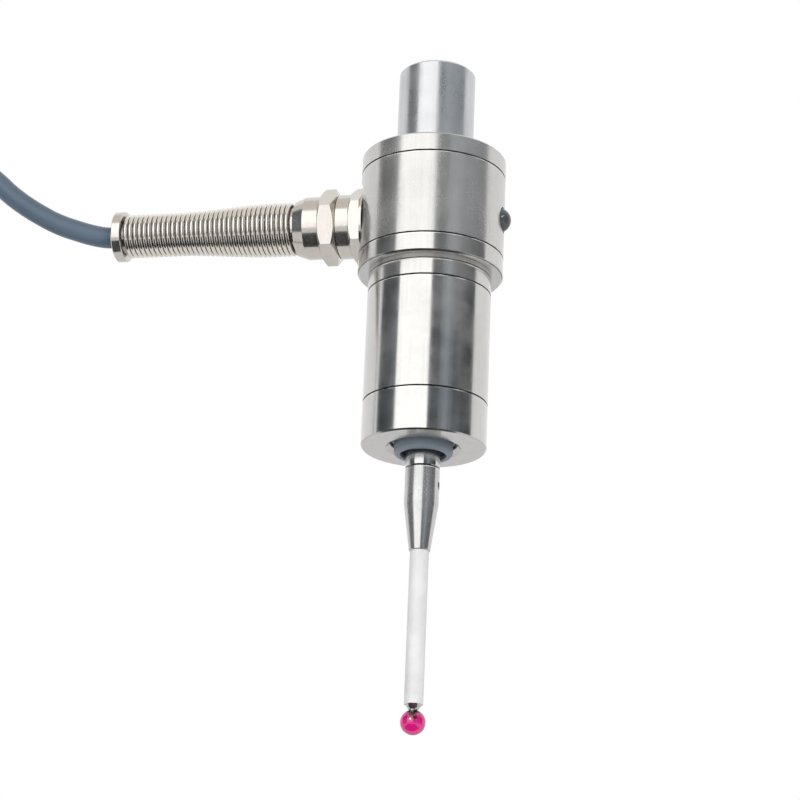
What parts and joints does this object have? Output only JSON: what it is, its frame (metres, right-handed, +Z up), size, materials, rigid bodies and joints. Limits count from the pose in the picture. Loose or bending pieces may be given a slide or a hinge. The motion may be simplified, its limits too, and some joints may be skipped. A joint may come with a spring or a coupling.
{
  "type": "touch probe",
  "caption": "Cable touch probe: steel clamping shank, stepped round housing, sprung stylus with ceramic stem and ruby ball, side cable gland with spring bend relief.",
  "frame": {"origin": "centre of the shank's seat on the top cover", "axes": "+Z up along the clamping shank, -X along the cable gland, +X towards the status lamp"},
  "size_m": [0.1824, 0.03, 0.159],
  "materials": {
    "housing_steel": "fine turned stainless steel, satin polished",
    "shank_steel": "ground hardened steel",
    "inner_steel": "machined steel",
    "stylus_steel": "polished stainless steel",
    "nickel": "bright nickel plate",
    "brass": "machined",
    "ceramic": "white technical ceramic, satin",
    "ruby": "polished synthetic ruby",
    "boot_rubber": "satin grey rubber",
    "seal_rubber": "black rubber",
    "dark_plastic": "moulded",
    "board_green": "lacquered circuit board",
    "lamp_resin": "smoked cast resin",
    "cable_sheath": "satin blue-grey cable sheath"
  },
  "bodies": {
    "housing": {"shank": "shank_steel", "shank_nut": "inner_steel", "top_cover": "housing_steel", "cover_oring": "seal_rubber", "upper_body": "housing_steel", "base_ring": "housing_steel", "body_oring": "seal_rubber", "barrel_oring": "seal_rubber", "barrel": "housing_steel", "nose_cap": "housing_steel", "nose_oring": "seal_rubber", "seat_ring": "inner_steel", "seat_cap": "inner_steel", "seat_nut": "inner_steel", "boot": "boot_rubber", "main_spring": "inner_steel", "contact_plate": "dark_plastic", "contact_strips": "brass", "plunger_spring": "inner_steel", "spring_plate": "dark_plastic", "signal_wires": "dark_plastic", "circuit_board": "board_green", "board_parts": "dark_plastic", "board_screws": "inner_steel", "led": "lamp_resin", "led_legs": "inner_steel", "led_grommet": "seal_rubber", "gland_ring": "seal_rubber", "gland_body": "nickel", "gland_seal": "seal_rubber", "gland_nut": "nickel", "relief_spring": "nickel", "relief_cap": "nickel", "cable_lead": "cable_sheath", "lead_cores": "dark_plastic", "cable": "cable_sheath", "cable_coil": "cable_sheath", "cable_tie": "dark_plastic", "plug_boot": "seal_rubber", "plug_grip": "nickel", "plug_skirt": "nickel", "plug_insert": "dark_plastic", "plug_pins": "brass"},
    "pins": {"guide_pins": "inner_steel"},
    "bush": {"ball_bush": "brass"},
    "stylus": {"stylus_carrier": "stylus_steel", "stylus_holder": "stylus_steel", "stem": "ceramic", "ball_pin": "stylus_steel", "ruby_ball": "ruby"},
    "plunger": {"plunger": "inner_steel", "contact_disc": "brass"}
  },
  "joints": [
    {"name": "tilt_x", "type": "hinge", "parent": "housing", "child": "pins", "pos_m": [0, 0, -0.0575], "axis": [1, 0, 0], "range_deg": [-5, 5], "stiffness_Nm_per_rad": 0.3},
    {"name": "tilt_y", "type": "hinge", "parent": "pins", "child": "bush", "pos_m": [0, 0, -0.0575], "axis": [0, 1, 0], "range_deg": [-5, 5], "stiffness_Nm_per_rad": 0.3},
    {"name": "lift", "type": "slide", "parent": "bush", "child": "stylus", "axis": [0, 0, 1], "range_m": [0, 0.003], "stiffness_N_per_m": 300, "springref_m": -0.005, "deforming": ["main_spring"]},
    {"name": "plunger_lift", "type": "slide", "parent": "housing", "child": "plunger", "axis": [0, 0, 1], "range_m": [0, 0.003], "stiffness_N_per_m": 100, "springref_m": -0.003, "deforming": ["plunger_spring"]}
  ],
  "couplings": [
    {"joint": "plunger_lift", "follows": "lift", "ratio": 1}
  ]
}
